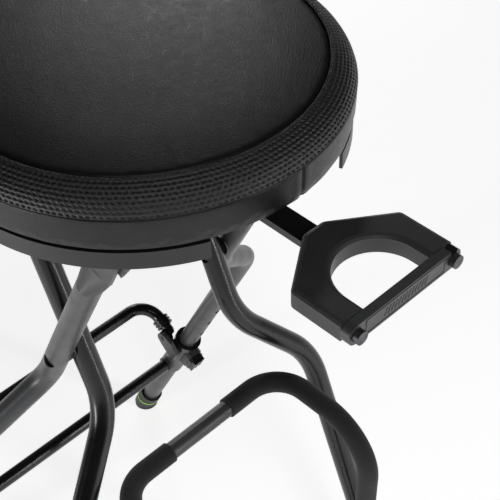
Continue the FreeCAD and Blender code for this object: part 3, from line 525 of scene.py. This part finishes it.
def side_band():
    """The vinyl band round the side, with one upright join."""
    points = [Vector((SEAT_RADIUS - 4.6 * MM, BAND_LOW + 1.8 * MM)),
              Vector((SEAT_RADIUS - 2.3 * MM, BAND_LOW + 1.5 * MM)),
              Vector((SEAT_RADIUS - 1.3 * MM, BAND_LOW + 3.0 * MM)),
              Vector((SEAT_RADIUS - 0.9 * MM, BAND_LOW + 12 * MM)),
              Vector((SEAT_RADIUS - 0.4 * MM, SEAM_Z - 9 * MM)),
              Vector((SEAT_RADIUS - 0.3 * MM, SEAM_Z - 2.2 * MM)),
              Vector((SEAT_RADIUS - 1.3 * MM, SEAM_Z - 0.2 * MM))]
    line, _ = smooth_line(points, 60)

    def lift(turn, i, count):
        height = line[i].y
        join = abs((turn - SIDE_JOIN + math.pi) % (2 * math.pi) - math.pi) * SEAT_RADIUS
        groove = -JOIN_DEPTH * math.exp(-(join / JOIN_WIDTH) ** 2)
        swell = JOIN_SWELL * math.exp(-((join - 5 * MM) / (4 * MM)) ** 2)
        pull = noise.noise(Vector((math.cos(turn) * 9, math.sin(turn) * 9, height * 60))) * BAND_WAVE
        return groove + swell + pull - BAND_SINK

    drift = blown_cover(line, 14, 0.8 * MM, 3.0, 0.01)
    piece = revolve("seat_side_band", line, 1080, "cover_vinyl", lift, drift=drift)
    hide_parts("side_band")


def ring_cord(name, radius, height, thick, wobble):
    """A thin round cord lying along a seam."""
    verts, faces = [], []
    around, across = 540, 10
    for k in range(around):
        turn = 2 * math.pi * k / around
        shift = wobble * noise.noise(Vector((math.cos(turn) * 30, math.sin(turn) * 30, height)))
        for i in range(across):
            angle = 2 * math.pi * i / across
            r = radius + shift + thick * math.cos(angle)
            z = height + thick * math.sin(angle)
            verts.append((SEAT_X + r * math.cos(turn), r * math.sin(turn), z))
    for k in range(around):
        for i in range(across):
            a, b = k * across, ((k + 1) % around) * across
            faces.append((a + i, b + i, b + (i + 1) % across, a + (i + 1) % across))
    add_piece(name, verts, faces, "seat", "cover_vinyl")


def stitch_row(name, place, length, thick, count):
    """Short raised stitches; place(i) gives a point, the run and the way out."""
    verts, faces = [], []
    ring = 6
    for i in range(count):
        point, run, out = place(i)
        side = run.cross(out).normalized()
        start = len(verts)
        for t, swell in STITCH_SHAPE:
            sink = -thick * 0.9 * (abs(t) * 2) ** 3
            for k in range(ring):
                angle = 2 * math.pi * k / ring
                verts.append(point + run * (t * length) + out * (sink + thick * swell * math.sin(angle))
                             + side * (thick * swell * math.cos(angle)))
        for j in range(4):
            for k in range(ring):
                a = start + j * ring + k
                b = start + j * ring + (k + 1) % ring
                faces.append((a, b, b + ring, a + ring))
        faces.append(tuple(start + k for k in range(ring))[::-1])
        faces.append(tuple(start + 4 * ring + k for k in range(ring)))
    add_piece(name, verts, faces, "seat", "cover_vinyl")


def seam_details():
    """Piping at the outer seam, the fold at the inner one, and a row of stitches by each."""
    ring_cord("outer_seam_piping", SEAT_RADIUS - 0.9 * MM, SEAM_Z + 0.2 * MM, 0.8 * MM, CORD_WOBBLE)
    ring_cord("inner_seam_fold", PANEL_RADIUS + 0.9 * MM, SEAM_Z + 18.6 * MM, 0.7 * MM, CORD_WOBBLE)

    def on_band(i):
        turn = 2 * math.pi * i / BAND_STITCHES
        out = Vector((math.cos(turn), math.sin(turn), 0))
        run = Vector((-math.sin(turn), math.cos(turn), 0))
        middle = Vector((SEAT_X, 0, SEAM_Z - BAND_STITCH_DROP))
        return middle + out * (SEAT_RADIUS - 0.55 * MM), run, out

    def on_panel(i):
        turn = 2 * math.pi * i / PANEL_STITCHES
        out = Vector((math.cos(turn), math.sin(turn), 0))
        run = Vector((-math.sin(turn), math.cos(turn), 0))
        up = Vector((out.x * 0.15, out.y * 0.15, 1)).normalized()
        middle = Vector((SEAT_X, 0, SEAM_Z + PANEL_STITCH_RISE))
        return middle + out * (PANEL_RADIUS - 3.4 * MM), run, up

    stitch_row("band_stitches", on_band, 2.7 * MM, 0.36 * MM, BAND_STITCHES)
    stitch_row("panel_stitches", on_panel, 2.6 * MM, 0.34 * MM, PANEL_STITCHES)


# ---------------------------------------------------------------- strap

TRIM_INSET = 2.0 * MM
TRIM_THICK = 0.65 * MM
TRIM_CORNER = 1.5 * MM
PEG_MARGIN = 9 * MM
RIB_COUNT = 13
RIB_PITCH = 3.4 * MM
RIB_LEAN = 1.3 * MM


def half_round(points, thick, closed, verts, faces):
    """Adds a half-round bead on the strap's front face along points of (across, up)."""
    start = len(verts)
    across = 7
    count = len(points)
    for j, point in enumerate(points):
        ahead = points[(j + 1) % count] if closed else points[min(j + 1, count - 1)]
        behind = points[j - 1] if closed or j else points[0]
        run = (ahead - behind).normalized()
        side = Vector((-run.y, run.x))
        for i in range(across):
            angle = math.pi * i / (across - 1)
            place = point + side * (math.cos(angle) * thick)
            verts.append(Vector((STRAP_FRONT - 0.1 * MM + math.sin(angle) * thick, place.x, place.y)))
    for j in range(count if closed else count - 1):
        a, b = start + j * across, start + ((j + 1) % count) * across
        for i in range(across - 1):
            faces.append((a + i, a + i + 1, b + i + 1, b + i))
    if not closed:
        faces.append(tuple(start + i for i in range(across)))
        faces.append(tuple(start + (count - 1) * across + i for i in reversed(range(across))))


def strap_trim():
    """The raised border of the strap and a field of plain slanted ribs."""
    middle_z = (STRAP_LOW.z + STRAP_HIGH.z) / 2
    half_tall = (STRAP_HIGH.z - STRAP_LOW.z) / 2
    half_height = half_tall - TRIM_INSET
    stop = STRAP_HIGH.y - half_tall - PEG_MARGIN
    border = []
    for quarter, (right, up) in enumerate(((1, 1), (-1, 1), (-1, -1), (1, -1))):
        corner = Vector((right * (stop - TRIM_CORNER), middle_z + up * (half_height - TRIM_CORNER)))
        for step in range(5):
            angle = math.pi / 2 * (quarter + step / 4)
            border.append(corner + Vector((math.cos(angle), math.sin(angle))) * TRIM_CORNER)
    verts, faces = [], []
    half_round(border, TRIM_THICK, True, verts, faces)
    lean = Vector((RIB_LEAN, 0))
    tall = Vector((0, half_height * 0.5))
    for i in range(RIB_COUNT):
        centre = Vector(((i - (RIB_COUNT - 1) / 2) * RIB_PITCH, middle_z))
        line = [centre - tall - lean, centre, centre + tall + lean]
        half_round(line, TRIM_THICK * 0.8, False, verts, faces)
    add_piece("strap_trim", verts, faces, "strap", "strap_rubber")


# ---------------------------------------------------------------- foam sleeves

def foam_sleeves():
    """The two foam tubes on the cradle, in the CAD's shape."""
    for name in ("left", "right"):
        node = "foam_sleeve_" + name
        mesh = NODES[node].data.copy()
        mesh.name = "foam_pad_" + name
        piece = bpy.data.objects.new("foam_pad_" + name, mesh)
        bpy.context.scene.collection.objects.link(piece)
        mesh.materials.clear()
        mesh.materials.append(LOOKS["sleeve_foam"])
        for face in mesh.polygons:
            face.use_smooth = True
        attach(piece, "cradle")
        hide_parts(node)


# ---------------------------------------------------------------- studio

FLOOR_HALF = 30.0
FLOOR_DROP = -0.0005
FLOOR_GLOW = 0.74
WORLD_LIGHT = 0.035
SPOT_POWER = 100
SPOT_REACH = 0.33
SPOT_PLACE = Vector((-1.58, 1.36, 0.95))
SPOT_AIM = Vector((-0.42, 0.36, 0))
SPOT_SOFTNESS = 0.3
LIGHT_AIM = Vector((0.05, 0, 0.45))


def studio():
    """A pale glowing floor, a dim world and long lights that draw highlights along the tubes."""
    scene = bpy.context.scene
    scene.view_settings.view_transform = "Standard"
    scene.view_settings.look = "None"
    signs = ((-1, -1), (1, -1), (1, 1), (-1, 1))
    corners = [(x * FLOOR_HALF, y * FLOOR_HALF, FLOOR_DROP) for x, y in signs]
    mesh = bpy.data.meshes.new("studio_floor")
    mesh.from_pydata(corners, [], [(0, 1, 2, 3)])
    floor = bpy.data.objects.new("studio_floor", mesh)
    scene.collection.objects.link(floor)
    paper = Shader("studio_paper", (0.9, 0.9, 0.9), 0.9, specular=0.1)
    paper.tint(paper.spread(paper.noise(3, 2), 0, 1), (0.9, 0.9, 0.9), (0.92, 0.92, 0.92))
    paper.set("Emission Color", (1, 1, 1, 1))
    paper.set("Emission Strength", FLOOR_GLOW)
    mesh.materials.append(paper.material)

    world = bpy.data.worlds.new("studio_world")
    scene.world = world
    world.use_nodes = True
    background = world.node_tree.nodes["Background"]
    background.inputs["Color"].default_value = (1, 1, 1, 1)
    background.inputs["Strength"].default_value = WORLD_LIGHT

    for name, place, width, height, power in (
        ("softbox_back", (-2.0, 1.5, 0.45), 1.2, 0.7, 10),
        ("strip_right", (1.9, 0.7, 0.85), 0.12, 1.4, 9.5),
        ("strip_left", (-0.3, -2.1, 0.33), 0.14, 0.8, 15),
        ("strip_high", (1.2, -0.6, 2.4), 0.25, 1.0, 9),
    ):
        light = bpy.data.lights.new(name, "AREA")
        light.shape = "RECTANGLE"
        light.size = width
        light.size_y = height
        light.energy = power
        lamp = bpy.data.objects.new(name, light)
        scene.collection.objects.link(lamp)
        lamp.location = place
        lamp.rotation_euler = (LIGHT_AIM - Vector(place)).to_track_quat("-Z", "Y").to_euler()
    seat_spot(scene)


def seat_spot(scene):
    """A soft spot from behind that lights the far side of the seat and fades towards the camera."""
    light = bpy.data.lights.new("seat_spot", "SPOT")
    light.energy = SPOT_POWER
    light.spot_size = 2 * math.atan(SPOT_REACH / SPOT_PLACE.length)
    light.spot_blend = 1.0
    light.shadow_soft_size = SPOT_SOFTNESS
    lamp = bpy.data.objects.new("seat_spot", light)
    scene.collection.objects.link(lamp)
    seat_top = Vector((SEAT_X, 0, SEAM_Z + CROWN_RISE))
    lamp.location = seat_top + SPOT_PLACE
    lamp.rotation_euler = (SPOT_AIM - SPOT_PLACE).to_track_quat("-Z", "Y").to_euler()


CAMERA_AZIMUTH = math.radians(46.55)
CAMERA_ELEVATION = math.radians(43.28)
CAMERA_ROLL = math.radians(-1.67)
CAMERA_PLACE = Vector((0.6099, -0.4669, 1.3004))
CAMERA_LENS = 88.61


def camera():
    """The camera that shows the close-up: a place, two angles and a small roll."""
    az, el, roll = CAMERA_AZIMUTH, CAMERA_ELEVATION, CAMERA_ROLL
    back = Vector((math.sin(az) * math.cos(el), -math.cos(az) * math.cos(el), math.sin(el)))
    right = Vector((math.cos(az), math.sin(az), 0))
    up = back.cross(right)
    right_rolled = right * math.cos(roll) + up * math.sin(roll)
    up_rolled = up * math.cos(roll) - right * math.sin(roll)
    data = bpy.data.cameras.new("photo_camera")
    data.lens = CAMERA_LENS
    data.sensor_width = 36
    eye = bpy.data.objects.new("photo_camera", data)
    bpy.context.scene.collection.objects.link(eye)
    turn = Matrix((right_rolled, up_rolled, back)).transposed().to_4x4()
    eye.matrix_world = Matrix.Translation(CAMERA_PLACE + Vector((SEAT_X, 0, 0))) @ turn
    bpy.context.scene.camera = eye


dress_cad_nodes()
mesh_border()
top_panel()
side_band()
seam_details()
strap_trim()
foam_sleeves()
studio()
camera()

bpy.context.view_layer.update()
